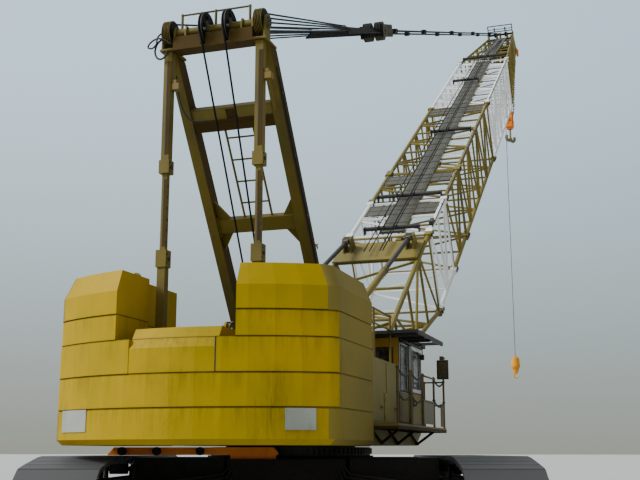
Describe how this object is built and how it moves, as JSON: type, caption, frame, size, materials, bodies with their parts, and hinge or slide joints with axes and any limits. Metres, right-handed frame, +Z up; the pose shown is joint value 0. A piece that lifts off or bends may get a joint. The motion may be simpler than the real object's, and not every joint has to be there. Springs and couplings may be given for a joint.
{
  "type": "lattice boom crawler crane, half size scale model",
  "caption": "Crawler crane with lattice boom, gantry, stacked counterweight, cab and two hanging hooks; it slews on its crawlers and luffs its boom.",
  "frame": {"origin": "on the slewing axis at ground level, under the tracks", "axes": "+X to the operator's right, +Y forward in the boom's direction, +Z up"},
  "size_m": [5.4654, 22.1542, 13.0563],
  "materials": {
    "track_steel": "dusty dark steel",
    "orange_paint": "weathered orange paint",
    "bare_steel": "dull grey steel",
    "weight_yellow": "weathered mustard paint",
    "frame_yellow": "dusty yellow-brown paint",
    "section_white": "chalky white paint",
    "panel_olive": "faded olive-beige paint",
    "rail_brown": "rusty brown paint",
    "dark_steel": "matt black paint",
    "seat_black": "black vinyl",
    "rope_steel": "greased wire rope",
    "window_glass": "tinted glass"
  },
  "bodies": {
    "lower_works": {"carbody": "track_steel", "carbody_beam": "orange_paint", "slew_ring": "bare_steel", "crawler_frame_left": "track_steel", "crawler_frame_right": "track_steel", "track_left": "track_steel", "track_right": "track_steel", "end_wheels": "track_steel", "track_rollers": "track_steel"},
    "upper_works": {"revolving_frame": "frame_yellow", "counterweight_base": "weight_yellow", "counterweight_slab": "weight_yellow", "counterweight_low": "weight_yellow", "counterweight_mid": "weight_yellow", "counterweight_top": "weight_yellow", "counterweight_centre": "weight_yellow", "house_left": "panel_olive", "house_right": "panel_olive", "engine": "bare_steel", "winches": "bare_steel", "walkway": "panel_olive", "handrails": "rail_brown", "cab_floor": "dark_steel", "cab_rear": "frame_yellow", "cab_inner": "frame_yellow", "cab_outer": "frame_yellow", "cab_front": "frame_yellow", "cab_roof": "dark_steel", "cab_glass": "window_glass", "cab_seat": "seat_black", "side_mirror": "dark_steel", "gantry_frame": "frame_yellow", "gantry_head": "frame_yellow", "gantry_stays": "frame_yellow"},
    "boom": {"boom_butt": "frame_yellow", "boom_insert_1": "section_white", "boom_insert_2": "frame_yellow", "boom_insert_3": "frame_yellow", "boom_insert_4": "section_white", "boom_tip": "frame_yellow", "boom_sheaves": "dark_steel", "boom_walkway": "bare_steel"},
    "hoist_fan": {"hoist_fan": "rope_steel"},
    "pendants": {"bridle": "bare_steel", "pendants": "rope_steel"},
    "backstop_tubes": {"backstop_tubes": "frame_yellow"},
    "backstop_rods": {"backstop_rods": "dark_steel"},
    "main_hook": {"main_hook": "orange_paint"},
    "aux_hook": {"aux_hook": "orange_paint"},
    "cab_door": {"cab_door": "frame_yellow"}
  },
  "joints": [
    {"name": "slew", "type": "hinge", "parent": "lower_works", "child": "upper_works", "pos_m": [0, 0, 0], "axis": [0, 0, 1], "continuous": true},
    {"name": "boom_luff", "type": "hinge", "parent": "upper_works", "child": "boom", "pos_m": [0, 0.43, 1.165], "axis": [1, 0, 0], "range_deg": [-3, 47]},
    {"name": "fan_swing", "type": "hinge", "parent": "upper_works", "child": "hoist_fan", "pos_m": [0, -2.05, 4.425], "axis": [1, 0, 0], "range_deg": [-3.6, 49.03]},
    {"name": "pendant_swing", "type": "hinge", "parent": "boom", "child": "pendants", "pos_m": [0, 18.13077, 12.79586], "axis": [1, 0, 0], "range_deg": [-0.6, 2.03]},
    {"name": "main_hook_swing", "type": "hinge", "parent": "boom", "child": "main_hook", "pos_m": [0, 18.56519, 12.35114], "axis": [1, 0, 0], "range_deg": [-47.5, 3.5]},
    {"name": "aux_hook_swing", "type": "hinge", "parent": "boom", "child": "aux_hook", "pos_m": [0, 18.80558, 12.5682], "axis": [1, 0, 0], "range_deg": [-47.5, 3.5]},
    {"name": "backstop_tilt", "type": "hinge", "parent": "upper_works", "child": "backstop_tubes", "pos_m": [0, 0.06, 1.87], "axis": [1, 0, 0], "range_deg": [-3.76, 51.64]},
    {"name": "backstop_slide", "type": "slide", "parent": "backstop_tubes", "child": "backstop_rods", "axis": [0, 0.8924, 0.4513], "range_m": [-0.5822, 0.0418]},
    {"name": "cab_door_slide", "type": "slide", "parent": "upper_works", "child": "cab_door", "axis": [0, -1, 0], "range_m": [0, 0.4]}
  ],
  "couplings": [
    {"joint": "fan_swing", "follows": "boom_luff", "ratio": 1.0326},
    {"joint": "pendant_swing", "follows": "boom_luff", "ratio": 0.03259},
    {"joint": "main_hook_swing", "follows": "boom_luff", "ratio": -1},
    {"joint": "aux_hook_swing", "follows": "boom_luff", "ratio": -1},
    {"joint": "backstop_tilt", "follows": "boom_luff", "ratio": 1.0881},
    {"joint": "backstop_slide", "follows": "boom_luff", "m_per_rad": -0.70368}
  ]
}
